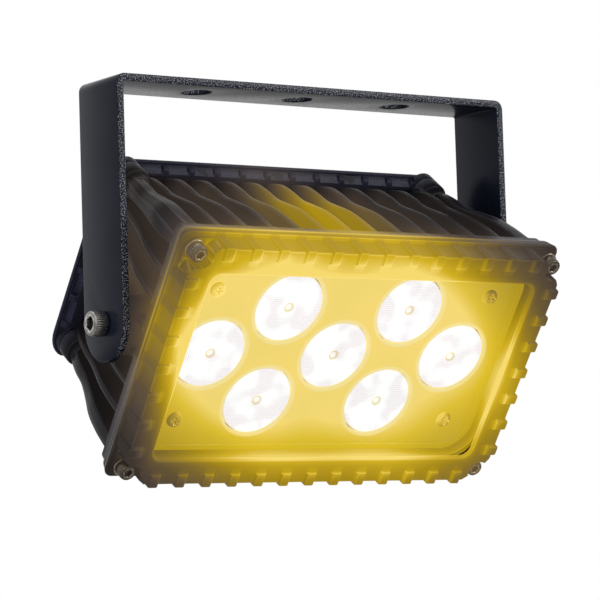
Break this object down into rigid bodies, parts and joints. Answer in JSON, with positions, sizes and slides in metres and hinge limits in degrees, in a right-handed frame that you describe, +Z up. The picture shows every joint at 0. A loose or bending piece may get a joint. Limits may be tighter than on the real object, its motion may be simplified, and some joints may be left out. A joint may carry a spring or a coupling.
{
  "type": "led floodlight",
  "caption": "Rectangular LED floodlight: finned cast head with a ribbed, glazed front and lit lens tray, tilting in a drilled U bracket between key-headed lock screws.",
  "frame": {"origin": "centre of the middle hanging hole, on the top face of the bracket, where the hanging bolt holds the lamp", "axes": "+Z up along the hanging bolt; the lamp shines towards -Y and down; +X is on the right for someone who looks at its front"},
  "size_m": [0.1986, 0.1369, 0.1591],
  "materials": {
    "bracket_coat": "satin fine-textured charcoal powder coat on bent steel strap",
    "housing_coat": "satin fine-textured black powder coat on die-cast aluminium",
    "stainless_steel": "bright turned stainless steel",
    "black_nylon": "matt black nylon",
    "seal_rubber": "matt black silicone rubber",
    "tempered_glass": "clear tempered glass",
    "lit_tray": "white reflector plastic lit amber by the lamp",
    "lens_acrylic": "clear moulded optical acrylic",
    "led_silicone": "yellow phosphor under a silicone dome",
    "white_board": "white solder resist on a metal-core board",
    "thermal_pad": "grey filled silicone pad",
    "green_board": "green solder resist on glass-fibre board",
    "transformer_core": "yellow winding tape",
    "terminal_plastic": "green moulded plastic",
    "capacitor_sleeve": "black heat-shrunk sleeve"
  },
  "bodies": {
    "bracket": {"hanging_bracket": "bracket_coat"},
    "head": {"left_friction_disc": "black_nylon", "right_friction_disc": "black_nylon", "heat_sink_housing": "housing_coat", "rear_cover": "housing_coat", "front_frame": "housing_coat", "front_glass": "tempered_glass", "glass_gasket": "seal_rubber", "frame_gasket": "seal_rubber", "rear_cover_gasket": "seal_rubber", "frame_screw_1": "stainless_steel", "frame_washer_1": "stainless_steel", "rear_cover_screw_1": "stainless_steel", "tray_screw_1": "stainless_steel", "frame_screw_2": "stainless_steel", "frame_washer_2": "stainless_steel", "rear_cover_screw_2": "stainless_steel", "tray_screw_2": "stainless_steel", "frame_screw_3": "stainless_steel", "frame_washer_3": "stainless_steel", "rear_cover_screw_3": "stainless_steel", "tray_screw_3": "stainless_steel", "frame_screw_4": "stainless_steel", "frame_washer_4": "stainless_steel", "rear_cover_screw_4": "stainless_steel", "tray_screw_4": "stainless_steel", "lens_tray": "lit_tray", "lens_1": "lens_acrylic", "led_1": "led_silicone", "lens_2": "lens_acrylic", "led_2": "led_silicone", "lens_3": "lens_acrylic", "led_3": "led_silicone", "lens_4": "lens_acrylic", "led_4": "led_silicone", "lens_5": "lens_acrylic", "led_5": "led_silicone", "lens_6": "lens_acrylic", "led_6": "led_silicone", "lens_7": "lens_acrylic", "led_7": "led_silicone", "led_board": "white_board", "thermal_pad": "thermal_pad", "driver_board": "green_board", "driver_transformer": "transformer_core", "driver_capacitor": "capacitor_sleeve", "terminal_block": "terminal_plastic", "driver_screw_1": "stainless_steel", "driver_screw_2": "stainless_steel", "left_gland_body": "black_nylon", "left_gland_nut": "black_nylon", "left_gland_seal": "seal_rubber", "right_gland_body": "black_nylon", "right_gland_nut": "black_nylon", "right_gland_seal": "seal_rubber"},
    "left_lock_screw": {"left_lock_screw": "stainless_steel"},
    "right_lock_screw": {"right_lock_screw": "stainless_steel"}
  },
  "joints": [
    {"name": "head_tilt", "type": "hinge", "parent": "bracket", "child": "head", "pos_m": [0, 0, -0.0955], "axis": [1, 0, 0], "range_deg": [-126, 54]},
    {"name": "left_lock_turn", "type": "hinge", "parent": "head", "child": "left_lock_screw", "pos_m": [-0.0944, 0, -0.0955], "axis": [-1, 0, 0], "range_deg": [0, 180]},
    {"name": "right_lock_turn", "type": "hinge", "parent": "head", "child": "right_lock_screw", "pos_m": [0.0944, 0, -0.0955], "axis": [1, 0, 0], "range_deg": [0, 180]}
  ]
}
